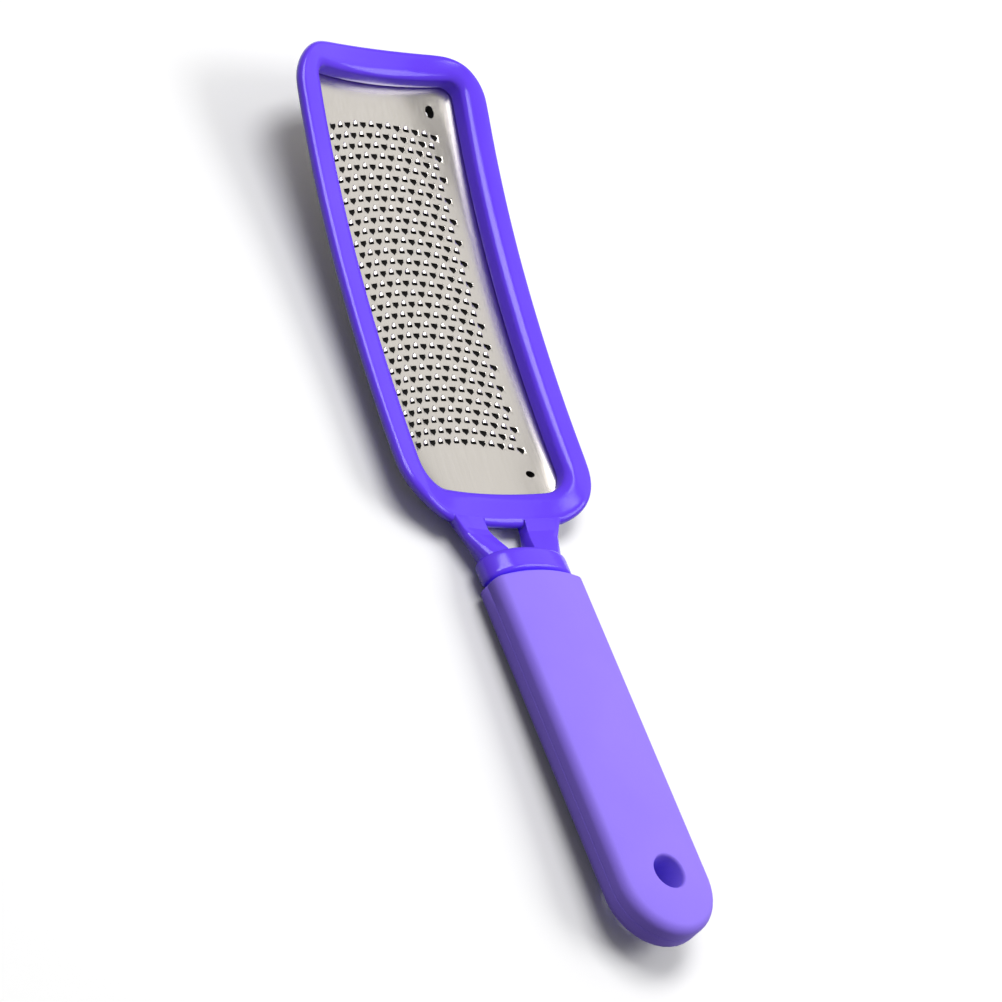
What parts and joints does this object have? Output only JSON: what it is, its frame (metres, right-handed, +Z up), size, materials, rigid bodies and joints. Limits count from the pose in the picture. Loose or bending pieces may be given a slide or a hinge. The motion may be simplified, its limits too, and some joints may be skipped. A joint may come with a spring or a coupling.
{
  "type": "foot file",
  "caption": "Long foot file: a dished plate punched with rasp teeth in a rimmed plastic head, on an open neck and a soft rounded grip with a hang hole.",
  "frame": {"origin": "middle of the footprint of the bounding box, on the table that the file lies on", "axes": "+Y along the file towards the tip of its head, +Z up out of the plate's hollow side, X across the head"},
  "size_m": [0.0624, 0.252, 0.0255],
  "materials": {
    "frame_plastic": "glossy moulded",
    "plate_steel": "bright polished sheet",
    "grip_rubber": "soft matt"
  },
  "bodies": {
    "root": {"head_frame": "frame_plastic", "rasp_plate": "plate_steel", "grip_sleeve": "grip_rubber"}
  },
  "joints": []
}
